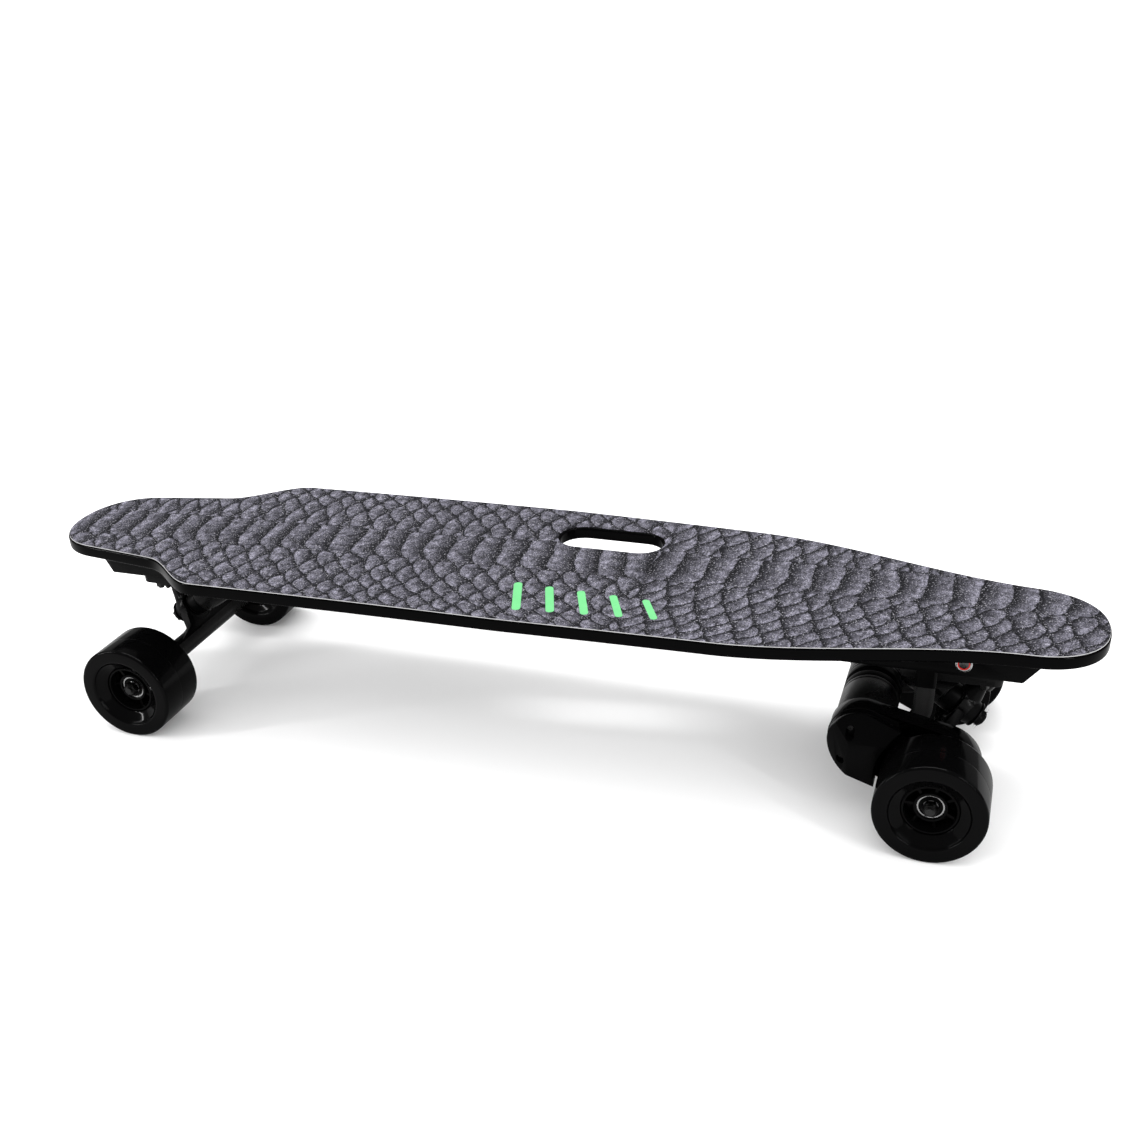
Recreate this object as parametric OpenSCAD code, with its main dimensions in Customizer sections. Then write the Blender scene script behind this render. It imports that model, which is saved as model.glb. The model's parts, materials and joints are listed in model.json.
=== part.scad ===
// Electric skateboard: belt-driven rear trucks, battery and controller under a handled deck.
// Millimetres. +X is the nose, +Y the left side, +Z up, floor at z = 0, midway between the axles.

/* [Deck] */
// Deck length from tail tip to nose tip
deck_length = 970; // [920:5:1020]
// Deck width at the middle
deck_width = 234; // [220:2:250]
// Thickness of the board without its grip
deck_thick = 11.2; // [9:0.2:13]
// Height of the grip surface above the floor at the middle
deck_top_z = 159; // [157:0.5:165]
// Drop of the tips below the middle
camber_drop = 6.5; // [3:0.5:8]
// Grip sheet thickness
grip_thick = 0.8; // [0.6:0.1:1.2]

/* [Handle] */
// Handle slot length
slot_length = 98; // [85:1:104]
// Handle slot width
slot_width = 43; // [34:1:46]
// Handle slot centre along the board
slot_x = -49; // [-52:1:-45]
// Handle slot centre across the board
slot_y = -60; // [-64:1:-58]

/* [Wheels] */
// Distance between the axles
wheelbase = 730.6; // [710:1:750]
// Wheel diameter
wheel_d = 90; // [84:1:92]
// Wheel width
wheel_width = 52; // [48:1:54]
// Inner face of each wheel from the centre line
wheel_inner_y = 89; // [88:0.5:94]

/* [Enclosures] */
// Half width of the enclosures
box_half = 50; // [48:1:54]
// Height of the enclosure floor above the ground
box_low_z = 121.5; // [121:0.5:123]
// Wall thickness
box_wall = 2.5; // [2:0.1:3]

/* [Drive] */
// Motor axis ahead of the rear axle
motor_dx = 63.8; // [63:0.2:65]
// Motor axis above the floor
motor_z = 67; // [66:0.5:68]
// Motor can radius
motor_r = 24.4; // [23:0.1:24.8]

/* [Hidden] */
$fn = 64;
deck_half = deck_length / 2;
mid_half = deck_width / 2;
axle_u = wheelbase / 2;
axle_z = wheel_d / 2;
wheel_r = wheel_d / 2;
board_top_z = deck_top_z - grip_thick;
board_low_z = board_top_z - deck_thick;

riser_thick = 10;
flange_thick = 9;
riser_low_z = box_low_z - riser_thick;
flange_low_z = riser_low_z - flange_thick;
plate_in = 324;
plate_out = 408;
plate_half = 28;
bolt_mid_u = 366;
bolt_du = 27;
bolt_dy = 20.65;

ring_u = 376.3;
ring_z = 67.8;
pivot_lean = 35;
ring_half = 5;
kingpin_r = 4.75;
tube_r = 9.5;

core_r = 22.6;
bearing_r = 11;
bearing_out_y = wheel_inner_y + 31;
bearing_in_y = wheel_inner_y + 7;
axle_r = 4;

motor_x = motor_dx - axle_u;
shell_in_y = 55;
case_front_y = 73;
shell_seam_y = 79.3;
cap_face_y = 95;
shell_r = 34.5;
shell_motor_r = 26.5;
shell_wall = 1.9;
shell_floor = 2.5;
bulge_r = 26.4;
cap_wall = 2.2;
pocket_r = 49.4;
top_crease_z = 72;
top_slope = 33;
side_crease_x = -294;
side_slope = 36;
screw_tip_y = 55.7;
centres = sqrt(pow(motor_dx, 2) + pow(motor_z - axle_z, 2));
belt_angle = atan2(motor_z - axle_z, motor_dx);
wheel_pulley_r = 25.2;
motor_pulley_r = 11;
pulley_in_y = 57.95;
pulley_wide = 13.2;
pulley_flange = 1.3;

button_x = -375.7;
button_z = 133.2;
socket_x = -150;
socket_z = 133.2;

// ---- shape helpers -------------------------------------------------------------------------

function ease(a, b, x) = let (t = min(1, max(0, (x - a) / (b - a)))) t * t * (3 - 2 * t);
function tip_round(start, x) =
  let (t = min(1, max(0, (x - start) / (deck_half - start)))) pow(1 - pow(t, 2.3), 1 / 2.3);
// half width on the nose side: parallel, then a sharp shoulder beside the wheels
function nose_half(x) =
  (mid_half - (mid_half - 74) * ease(290, 364, x) - 0.16 * max(0, x - 362)) * tip_round(435, x);
// half width on the tail side: one long taper
function tail_half(s) =
  (mid_half - 0.035 * s - (mid_half - 76) * ease(180, 430, s)) * tip_round(424, s);
function half_at(x) = x > 0 ? nose_half(x) : tail_half(-x);
// stations bunch up at the tips, where the outline turns
function station(i, n) = deck_half * sin(90 * i / n);
function camber(x) = camber_drop * pow(x / deck_half, 2);

module outline(inset) {
  steps = 44;
  k = (deck_half - inset) / deck_half;
  left = [for (i = [-steps : steps]) let (x = station(i, steps)) [x * k, max(0.01, half_at(x) - inset)]];
  right = [for (i = [steps - 1 : -1 : -steps + 1]) let (x = station(i, steps))
    [x * k, -(half_at(x) - inset)]];
  polygon(concat(left, right));
}

// a slab that follows the camber between two heights measured at the middle
module camber_band(low, high, half_wide) {
  steps = 36;
  reach = deck_half + 10;
  xs = [for (i = [-steps : steps]) reach * i / steps];
  upper = [for (x = xs) [x, high - camber(x)]];
  lower = [for (i = [steps : -1 : -steps]) let (x = reach * i / steps) [x, low - camber(x)]];
  rotate([90, 0, 0])
    linear_extrude(2 * half_wide, center = true)
      polygon(concat(upper, lower));
}

// everything below the deck's underside
module below_deck() {
  steps = 36;
  reach = deck_half + 10;
  upper = [for (i = [-steps : steps]) let (x = reach * i / steps)
    [x, board_low_z - 0.05 - camber(x)]];
  rotate([90, 0, 0])
    linear_extrude(300, center = true)
      polygon(concat(upper, [[reach, 0], [-reach, 0]]));
}

module slot_2d(grow) {
  r = slot_width / 2 + grow;
  dx = slot_length / 2 - slot_width / 2;
  translate([slot_x, slot_y]) {
    translate([-dx, 0]) circle(r);
    translate([dx, 0]) circle(r);
    square([2 * dx, 2 * r], center = true);
  }
}

// two circles joined by straight runs that sit a hair inside the true tangents
module belt_path(r1, r2, apart) {
  b = acos((r1 - r2) / apart);
  near = r1 * 0.999;
  far = r2 * 0.999;
  circle(r1);
  translate([apart, 0]) circle(r2);
  polygon([
    [near * cos(b), near * sin(b)], [near * cos(b), -near * sin(b)],
    [apart + far * cos(b), -far * sin(b)], [apart + far * cos(b), far * sin(b)]
  ]);
}

module rounded_plate(x0, x1, half, r) {
  translate([x0 + r, -half]) square([x1 - x0 - 2 * r, 2 * half]);
  translate([x0, -half + r]) square([x1 - x0, 2 * half - 2 * r]);
  for (x = [x0 + r, x1 - r])
    for (y = [-half + r, half - r])
      translate([x, y]) circle(r);
}

module at_bolts(end) {
  for (u = [bolt_mid_u - bolt_du, bolt_mid_u + bolt_du])
    for (y = [-bolt_dy, bolt_dy])
      translate([end * u, y, 0]) children();
}

module rear() {
  mirror([1, 0, 0]) children();
}

module right_side() {
  mirror([0, 1, 0]) children();
}

// ---- deck ----------------------------------------------------------------------------------

module deck() {
  color("#16161a")
    difference() {
      intersection() {
        linear_extrude(deck_top_z + 10) outline(0);
        camber_band(board_low_z, board_top_z, mid_half + 10);
      }
      linear_extrude(deck_top_z + 10) slot_2d(0);
      for (end = [-1, 1])
        at_bolts(end) {
          cylinder(r = 2.75, h = deck_top_z + 10);
          translate([0, 0, bolt_head_z() - 3.2]) cylinder(r1 = 2.75, r2 = 5.6, h = 3.2);
          translate([0, 0, bolt_head_z()]) cylinder(r = 5.6, h = 10);
        }
      at_screws() translate([0, 0, board_low_z - 10]) cylinder(r = 1.7, h = 15);
    }
}

module grip_tape() {
  color("#55555f")
    difference() {
      intersection() {
        linear_extrude(deck_top_z + 10) outline(2);
        camber_band(board_top_z + 0.02, deck_top_z, mid_half + 10);
      }
      linear_extrude(deck_top_z + 10) slot_2d(1.5);
    }
}

// ---- enclosures ----------------------------------------------------------------------------

box_in = 16;
box_out_low = 422;
box_out_top = 444;
box_taper_half = 36;
front_cells_x0 = 30;
front_cells_x1 = 301;
bar_out_x = 316;
block_half = 30;
rear_in = 115;
screw_y = 42;
screw_front_in = 23;
screw_rear_in = 122.6;
screw_far = 309;

module at_screws() {
  for (y = [-screw_y, screw_y]) {
    translate([screw_front_in, y, 0]) children();
    translate([screw_far, y, 0]) children();
    translate([-screw_rear_in, y, 0]) children();
    translate([-screw_far, y, 0]) children();
  }
}

// outer body from `near` to the sloped end, drawn for the +X half
module box_body(near) {
  end_top = box_out_top + 10;
  side = [[near, box_low_z], [box_out_low, box_low_z],
    [end_top, box_low_z + end_top - box_out_low], [end_top, 170], [near, 170]];
  plan = [[near, -box_half], [box_out_low, -box_half], [end_top, -box_taper_half],
    [end_top, box_taper_half], [box_out_low, box_half], [near, box_half]];
  intersection() {
    below_deck();
    rotate([90, 0, 0]) linear_extrude(2 * box_half, center = true) polygon(side);
    linear_extrude(200) polygon(plan);
  }
}

module box_room(x0, x1) {
  translate([x0, -box_half + box_wall, box_low_z + 2])
    cube([x1 - x0, 2 * (box_half - box_wall), 60]);
}

module block_rooms() {
  for (s = [-1, 1])
    translate([bar_out_x + 3, s > 0 ? block_half : -box_half + box_wall, box_low_z + 2])
      cube([box_out_low - bar_out_x - 8, box_half - box_wall - block_half, 60]);
}

module cable_way() {
  rotate([0, 90, 0]) cylinder(r = 4, h = 400, center = true);
}

module front_enclosure() {
  color("#1b1b1d")
    difference() {
      box_body(box_in);
      box_room(front_cells_x0, front_cells_x1);
      block_rooms();
      at_bolts(1) cylinder(r = 2.75, h = 200);
      at_screws() cylinder(r = 1.75, h = 200);
      at_screws() translate([0, 0, box_low_z - 1]) cylinder(r = 3.8, h = 3);
      translate([0, cable_y, cable_z]) cable_way();
    }
}

module rear_enclosure() {
  color("#1b1b1d")
    difference() {
      rear() box_body(rear_in);
      rear() box_room(rear_in + 14, front_cells_x1);
      rear() block_rooms();
      at_bolts(-1) cylinder(r = 2.75, h = 200);
      at_screws() cylinder(r = 1.75, h = 200);
      at_screws() translate([0, 0, box_low_z - 1]) cylinder(r = 3.8, h = 3);
      translate([0, cable_y, cable_z]) cable_way();
      translate([button_x, 0, button_z]) rotate([-90, 0, 0]) cylinder(r = 6.05, h = 60);
      translate([socket_x, 0, socket_z]) rotate([90, 0, 0]) cylinder(r = 5.05, h = 60);
    }
}

module enclosure_screws() {
  color("#202022")
    at_screws() {
      translate([0, 0, box_low_z + 0.1]) cylinder(r = 3.5, h = 1.85);
      translate([0, 0, box_low_z + 0.1]) cylinder(r = 1.65, h = 26);
    }
}

cell_r = 9.1;
cell_long = 65;
module battery_cells() {
  color("#2f6f9f")
    for (i = [0 : 3])
      for (j = [-2 : 2])
        translate([33 + i * (cell_long + 1.6), j * 18.5, box_low_z + 2.05 + cell_r])
          rotate([0, 90, 0]) {
            cylinder(r = cell_r, h = cell_long);
            cylinder(r = 3, h = cell_long + 1);
          }
}

module battery_board() {
  x0 = -180;
  color("#1d5a35")
    translate([x0, -34, box_low_z + 6]) cube([46, 68, 1.6]);
  color("#1d5a35")
    for (x = [x0 + 4, x0 + 38])
      for (y = [-28, 28])
        translate([x, y, box_low_z + 2.05]) cylinder(r = 3, h = 4);
  color("#1d5a35")
    for (i = [0 : 3])
      translate([x0 + 6 + i * 9, -20, box_low_z + 7.6]) cube([6, 9, 2.4]);
}

module motor_controller() {
  x0 = -292;
  color("#8d9096")
    difference() {
      translate([x0, -38, box_low_z + 2.05]) cube([100, 76, 16]);
      for (i = [0 : 10])
        translate([x0 - 1, -36 + i * 6.8, box_low_z + 13]) cube([102, 3.6, 20]);
    }
}

cable_y = 18;
cable_z = 138.4;
module wire_conduit() {
  x0 = -rear_in + 0.1;
  long = rear_in + box_in - 0.2;
  color("#1b1b1d")
    difference() {
      intersection() {
        translate([x0, cable_y - 13, cable_z - 8.5]) cube([long, 26, 30]);
        below_deck();
        translate([x0, cable_y, cable_z + 3])
          rotate([0, 90, 0]) cylinder(r = 16, h = long);
      }
      translate([0, cable_y, cable_z]) cable_way();
    }
}

module power_cable() {
  color("#3a1010")
    translate([-rear_in - 13, cable_y, cable_z])
      rotate([0, 90, 0]) cylinder(r = 3.6, h = rear_in + box_in + 26);
}

// ---- button and socket ---------------------------------------------------------------------

module at_button() {
  translate([button_x, box_half, button_z]) rotate([-90, 0, 0]) children();
}

module button_bezel() {
  color("#c9c9cc")
    at_button()
      rotate_extrude()
        polygon([[4.9, -9], [6, -9], [6, 0.05], [7, 0.05], [7, 0.7], [6.4, 1.3], [4.9, 1.3]]);
}

module button_light_ring() {
  color("#d01818")
    at_button()
      translate([0, 0, -8])
        difference() {
          cylinder(r = 4.85, h = 9);
          translate([0, 0, -1]) cylinder(r = 4.0, h = 11);
        }
}

module power_button() {
  color("#77777c")
    at_button() {
      translate([0, 0, -6]) cylinder(r = 3.94, h = 6.9);
      translate([0, 0, 0.9]) cylinder(r1 = 3.94, r2 = 3.4, h = 0.4);
    }
}

module charge_socket() {
  color("#17171a")
    translate([socket_x, -box_half, socket_z])
      rotate([90, 0, 0])
        difference() {
          union() {
            translate([0, 0, 0.05]) cylinder(r = 7, h = 1.4);
            translate([0, 0, -13]) cylinder(r = 5, h = 14);
          }
          translate([0, 0, -9]) cylinder(r = 2.8, h = 12);
        }
}

// ---- trucks, drawn for the nose end --------------------------------------------------------

// local z runs up the steering axis, local x down the kingpin
module on_pivot() {
  translate([ring_u, 0, ring_z]) rotate([0, pivot_lean, 0]) children();
}

module along_kingpin(x0) {
  on_pivot() translate([x0, 0, 0]) rotate([0, 90, 0]) children();
}

module riser() {
  translate([0, 0, riser_low_z + 0.02])
    linear_extrude(riser_thick - 0.04)
      difference() {
        rounded_plate(plate_in - 1, plate_out + 1, plate_half + 1, 7);
        for (u = [bolt_mid_u - bolt_du, bolt_mid_u + bolt_du])
          for (y = [-bolt_dy, bolt_dy])
            translate([u, y]) circle(2.75);
      }
}

module baseplate() {
  seat_x = -20.5;
  difference() {
    union() {
      translate([0, 0, flange_low_z])
        linear_extrude(flange_thick) rounded_plate(plate_in, plate_out, plate_half, 7);
      intersection() {
        translate([plate_in + 4, -24, 40]) cube([plate_out - plate_in - 5, 48, riser_low_z - 40.5]);
        union() {
          along_kingpin(seat_x - 60) cylinder(r = 15, h = 60);
          on_pivot() translate([0, 0, 27]) cylinder(r = 9.6, h = 40);
          // wedge web under the kingpin boss, toward the board's middle
          rotate([90, 0, 0])
            linear_extrude(18, center = true)
              polygon([[330, 105], [339, 84], [351, 67.6], [359, 79], [371, 97], [371, 105]]);
        }
      }
      // stiffening ribs from the boss out to the bolts
      for (y = [-20, 17])
        translate([0, y + 3, 0])
          rotate([90, 0, 0])
            linear_extrude(3)
              polygon([[348, 105], [354, 90], [366, 90], [380, 105]]);
    }
    // pocket for the pivot cup
    on_pivot() translate([0, 0, 26]) cylinder(r = 7.4, h = 15);
    // kingpin hole and its head pocket, open to the riser
    along_kingpin(seat_x - 30) cylinder(r = kingpin_r + 0.05, h = 40);
    along_kingpin(-110) cylinder(r = 8.6, h = 74);
    at_bolts(1) cylinder(r = 2.75, h = 200);
    // nut seats
    at_bolts(1) translate([0, 0, 90]) cylinder(r = 5.6, h = flange_low_z - 90);
    // lightening window between the bolt rows
    translate([378, -5, flange_low_z - 1]) cube([8, 10, 3]);
  }
}

module kingpin() {
  along_kingpin(-36) cylinder(r = kingpin_r, h = 60);
  along_kingpin(-42) cylinder(r = 8.2, h = 6, $fn = 6);
}

module kingpin_nut() {
  along_kingpin(16.6)
    difference() {
      union() {
        cylinder(r = 7.9, h = 5, $fn = 6);
        translate([0, 0, 5]) cylinder(r1 = 6.9, r2 = 6.3, h = 1.6);
      }
      translate([0, 0, -1]) cylinder(r = kingpin_r + 0.05, h = 10);
    }
}

module bushing_washer_pair() {
  along_kingpin(-20.45)
    difference() {
      cylinder(r = 14, h = 1.4);
      translate([0, 0, -1]) cylinder(r = kingpin_r + 0.05, h = 4);
    }
  along_kingpin(15.1)
    difference() {
      cylinder(r = 11.5, h = 1.4);
      translate([0, 0, -1]) cylinder(r = kingpin_r + 0.05, h = 4);
    }
}

module board_bushing() {
  along_kingpin(-19)
    rotate_extrude()
      polygon([[5, 0], [12.4, 0], [13, 1.4], [13, 12.6], [12.4, 13.95], [5, 13.95]]);
}

module road_bushing() {
  along_kingpin(5.05)
    rotate_extrude()
      polygon([[5, 0], [13, 0], [13, 1.4], [10.2, 10], [5, 10]]);
}

module pivot_cup() {
  on_pivot()
    translate([0, 0, 27.5])
      difference() {
        cylinder(r = 7.35, h = 13.45);
        translate([0, 0, -1]) cylinder(r = 5.55, h = 13.2);
      }
}

module hanger(tube_half) {
  difference() {
    union() {
      translate([axle_u, 0, axle_z]) rotate([90, 0, 0])
        cylinder(r = tube_r, h = 2 * tube_half, center = true);
      translate([axle_u, 0, axle_z]) rotate([90, 0, 0])
        cylinder(r = 6.4, h = 2 * bearing_in_y - 0.1, center = true);
      along_kingpin(-ring_half) cylinder(r = 17, h = 2 * ring_half);
      on_pivot() {
        // wings from the ring down to the axle tube
        translate([-ring_half + 0.5, 0, 0])
          rotate([90, 0, 90])
            linear_extrude(2 * ring_half - 1)
              polygon([[-16.6, 3], [16.6, 3], [24, -14], [46, -20], [46, -28],
                [-46, -28], [-46, -20], [-24, -14]]);
        // nose that runs up into the pivot cup
        rotate_extrude()
          polygon([[0, 10], [12, 10], [7.2, 23], [5.5, 27], [5.5, 37], [4.4, 39.4], [0, 39.4]]);
      }
    }
    along_kingpin(-20) cylinder(r = 7.5, h = 40);
    translate([axle_u, 0, axle_z]) rotate([90, 0, 0])
      cylinder(r = axle_r + 0.02, h = 300, center = true);
    // the board-side bushing and the road-side bushing each sit on a clear ring face
    along_kingpin(-19) cylinder(r = 14.5, h = 14);
    along_kingpin(ring_half) cylinder(r = 14.5, h = 14);
  }
}

module axle() {
  translate([axle_u, 0, axle_z]) rotate([90, 0, 0]) {
    cylinder(r = axle_r, h = 2 * (bearing_out_y + 14), center = true);
    cylinder(r = axle_r - 0.8, h = 2 * (bearing_out_y + 15), center = true);
  }
}

module axle_nuts() {
  for (s = [-1, 1])
    translate([axle_u, s * (bearing_out_y + 7.1), axle_z])
      rotate([-90 * s, 0, 0])
        difference() {
          union() {
            cylinder(r = 6.6, h = 5, $fn = 6);
            translate([0, 0, 5]) cylinder(r1 = 5.8, r2 = 5.2, h = 1.4);
          }
          translate([0, 0, -1]) cylinder(r = axle_r + 0.02, h = 10);
        }
}

module bearing() {
  rotate_extrude()
    polygon([[4.02, 0], [6, 0], [6, 0.5], [9.3, 0.5], [9.3, 0], [11, 0], [11, 7], [9.3, 7],
      [9.3, 6.5], [6, 6.5], [6, 7], [4.02, 7]]);
}

module bearings() {
  for (s = [-1, 1])
    for (y = [bearing_in_y, bearing_out_y])
      translate([axle_u, s * y, axle_z]) rotate([-90 * s, 0, 0]) bearing();
}

// ---- wheels, drawn on their own axis, z = 0 at the inner face ------------------------------

module tyre() {
  w = wheel_width;
  lip = [for (i = [0 : 5]) let (a = 90 - 18 * i) [wheel_r - 3 + 3 * cos(a), w - 3 + 3 * sin(a)]];
  low_lip = [for (i = [0 : 5]) let (a = -18 * i) [wheel_r - 3 + 3 * cos(a), 3 + 3 * sin(a)]];
  rotate_extrude($fn = 128)
    polygon(concat(
      [[core_r, 6], [29, 3.4], [31.5, 0.6], [33, 0]],
      [for (i = [5 : -1 : 0]) low_lip[i]],
      [for (i = [5 : -1 : 0]) lip[i]],
      [[33.2, w], [32.2, w - 0.9], [31.4, w - 2.6], [24, w - 7], [core_r, w - 8.2]]
    ));
}

module core() {
  rim_in = 20.7;
  hub_out = 13.4;
  difference() {
    union() {
      difference() {
        translate([0, 0, 7]) cylinder(r = core_r - 0.02, h = wheel_width - 15.6);
        translate([0, 0, 27]) cylinder(r = rim_in, h = 40);
        translate([0, 0, 5]) cylinder(r = rim_in, h = 15);
      }
      translate([0, 0, 7]) cylinder(r = hub_out, h = 32.4);
      for (i = [0 : 6])
        rotate([0, 0, i * 360 / 7])
          translate([hub_out - 1, -1.4, 11]) cube([rim_in - hub_out + 2, 2.8, 25.5]);
    }
    translate([0, 0, 5]) cylinder(r = 9.6, h = 50);
    translate([0, 0, 5]) cylinder(r = bearing_r + 0.03, h = 9.05);
    translate([0, 0, 30.95]) cylinder(r = bearing_r + 0.03, h = 20);
  }
}

module place_wheel(end, s) {
  translate([end * axle_u, s * wheel_inner_y, axle_z]) rotate([-90 * s, 0, 0]) children();
}

// ---- drive, drawn for the left side ----------------------------------------------------------

// local z runs outward along +Y, local x from the axle to the motor
module at_drive(y) {
  translate([-axle_u, y, axle_z])
    rotate([90, 0, 0]) mirror([0, 0, 1]) rotate([0, 0, belt_angle]) children();
}

module at_motor(y) {
  at_drive(y) translate([centres, 0, 0]) children();
}

module toothed(r, teeth, h, depth) {
  difference() {
    cylinder(r = r, h = h, $fn = 96);
    for (i = [0 : teeth - 1])
      rotate([0, 0, i * 360 / teeth])
        translate([r, 0, -1]) cylinder(r = depth, h = h + 2, $fn = 16);
  }
}

module wheel_pulley() {
  far_flange = pulley_in_y + pulley_wide - pulley_flange;
  hub_start = far_flange + pulley_flange - 0.1;
  color("#2a2a2d")
    difference() {
      union() {
        at_drive(pulley_in_y + pulley_flange - 0.1)
          toothed(wheel_pulley_r, 32, pulley_wide - 2 * pulley_flange + 0.2, 1.3);
        at_drive(pulley_in_y) cylinder(r = 26, h = pulley_flange);
        at_drive(far_flange) cylinder(r = 26, h = pulley_flange);
        at_drive(hub_start) cylinder(r = 17.4, h = bearing_in_y - hub_start - 0.05);
      }
      at_drive(pulley_in_y - 5) cylinder(r = 12, h = 60);
    }
}

module motor_housing() {
  wall = 2;
  color("#3a3a3f")
    difference() {
      at_motor(12) cylinder(r = motor_r, h = shell_in_y - 12 - 0.05);
      at_motor(11) cylinder(r = motor_r - wall, h = shell_in_y - 15);
      at_motor(11) cylinder(r = axle_r + 0.05, h = 60);
    }
}

module motor_end_cap() {
  lip_r = motor_r - 2.05;
  color("#151517")
    at_motor(1)
      rotate_extrude()
        polygon([[0, 0], [motor_r - 2.5, 0], [motor_r, 2.5], [motor_r, 10.95], [lip_r, 10.95],
          [lip_r, 13.5], [motor_r - 5, 13.5], [motor_r - 5, 4], [4.05, 4], [4.05, 2], [0, 2]]);
}

module motor_rotor() {
  far_flange = pulley_in_y + pulley_wide - pulley_flange;
  color("#b0b0b4") {
    at_motor(3.2) cylinder(r = 4, h = far_flange - 2.6);
    at_motor(17) cylinder(r = 20.6, h = 33);
    at_motor(pulley_in_y + pulley_flange - 0.1)
      toothed(motor_pulley_r, 14, pulley_wide - 2 * pulley_flange + 0.2, 1.2);
    at_motor(pulley_in_y) cylinder(r = 12.2, h = pulley_flange);
    at_motor(far_flange) cylinder(r = 12.2, h = pulley_flange);
  }
}

module belt() {
  gap = 0.35;
  thick = 2;
  color("#121214")
    at_drive(pulley_in_y + pulley_flange + 0.3)
      linear_extrude(pulley_wide - 2 * pulley_flange - 0.6)
        difference() {
          belt_path(wheel_pulley_r + gap + thick, motor_pulley_r + gap + thick, centres);
          belt_path(wheel_pulley_r + gap, motor_pulley_r + gap, centres);
        }
}

// the motor end alone: a round end with straight sides toward the axle
module motor_end(r) {
  translate([centres, 0]) circle(r);
  translate([centres - 45, -r * 0.999]) square([45, 2 * r * 0.999]);
}

module case_inside(play) {
  belt_path(shell_r - shell_wall - play, shell_motor_r - shell_wall - play, centres);
}

// belt case, thin beside the wheel and taller at the motor end
module drive_shell() {
  color("#1c1c1e")
    difference() {
      union() {
        at_drive(shell_in_y)
          linear_extrude(case_front_y - shell_in_y) belt_path(shell_r, shell_motor_r, centres);
        at_drive(shell_in_y)
          linear_extrude(shell_seam_y - shell_in_y)
            difference() {
              motor_end(bulge_r);
              circle(pocket_r);
            }
        // clamp collar on the axle tube
        at_drive(46) cylinder(r = 14, h = 10);
      }
      at_drive(shell_in_y + shell_floor) linear_extrude(14) case_inside(0);
      at_drive(shell_in_y + shell_floor + 10)
        linear_extrude(20)
          intersection() {
            case_inside(0);
            circle(pocket_r + cap_wall + 0.05);
          }
      at_drive(shell_in_y + shell_floor + 10) linear_extrude(20) motor_end(bulge_r - shell_wall);
      at_drive(40) cylinder(r = tube_r + 0.03, h = 60);
      at_motor(40) cylinder(r = 6, h = 60);
      // blind holes for the cover screws
      for (p = screw_spots) at_shaft(screw_tip_y - 0.1) translate(p) cylinder(r = 1.35, h = 5);
      // clamp slit
      at_drive(45.9) translate([-20, -0.8, 0]) cube([20, 1.6, 9]);
    }
}

// world-aligned frame on the motor axis: local x forward, y up, z outward
module at_shaft(y) {
  translate([motor_x, y, motor_z]) rotate([90, 0, 0]) mirror([0, 0, 1]) children();
}

screw_spots = [[7.6, 14.2], [13.3, -13.6]];

// motor end of the cap: a flat field by the wheel, sloping away above and in front
module bulge(inset, from_y) {
  reach = 300;
  intersection() {
    at_drive(from_y)
      linear_extrude(cap_face_y - inset - from_y)
        difference() {
          motor_end(bulge_r - inset);
          circle(pocket_r + inset);
        }
    translate([motor_x, cap_face_y, top_crease_z])
      rotate([top_slope, 0, 0])
        translate([-reach / 2, -reach - inset, -reach / 2]) cube(reach);
    translate([side_crease_x, cap_face_y, motor_z])
      rotate([0, 0, -side_slope])
        translate([-reach / 2, -reach - inset, -reach / 2]) cube(reach);
  }
}

module screw_wells(grow, from_y) {
  well_r = 3.5;
  at_shaft(from_y) {
    translate([6.8, 10.6]) cylinder(r = well_r + grow, h = 30);
    translate([6.8, 13.8]) cylinder(r = well_r + grow, h = 30);
    translate([screw_spots[1][0], screw_spots[1][1]]) cylinder(r = well_r + grow, h = 30);
  }
}

module drive_cap() {
  plate_y = case_front_y - 1.4;
  seat_y = shell_seam_y + 3.6;
  color("#1c1c1e")
    difference() {
      union() {
        difference() {
          bulge(0, shell_seam_y + 0.05);
          difference() {
            bulge(cap_wall, shell_seam_y - 5);
            screw_wells(1.4, shell_seam_y - 6);
          }
        }
        // floor of the wheel pocket and the wall round it
        at_drive(plate_y)
          linear_extrude(1.4)
            intersection() {
              case_inside(0.05);
              circle(pocket_r + cap_wall);
            }
        at_drive(plate_y)
          linear_extrude(shell_seam_y - plate_y + 1)
            intersection() {
              motor_end(bulge_r - shell_wall - 0.05);
              difference() {
                circle(pocket_r + cap_wall);
                circle(pocket_r);
              }
            }
        for (p = screw_spots)
          at_shaft(shell_in_y + shell_floor + 0.1)
            translate(p) cylinder(r = 2.3, h = seat_y - shell_in_y - shell_floor - 0.2);
      }
      at_drive(plate_y - 10) cylinder(r = 19, h = 40);
      screw_wells(0, seat_y);
      for (p = screw_spots) at_shaft(40) translate(p) cylinder(r = 1.4, h = 60);
    }
}

module drive_screws() {
  seat_y = shell_seam_y + 3.6;
  for (p = screw_spots) {
    at_shaft(screw_tip_y) translate(p) cylinder(r = 1.3, h = seat_y - screw_tip_y + 1);
    at_shaft(seat_y + 0.05) translate(p)
      difference() {
        cylinder(r = 2.4, h = 1.6);
        translate([0, 0, 0.7]) cylinder(r = 1.1, h = 3, $fn = 6);
      }
  }
}

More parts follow.
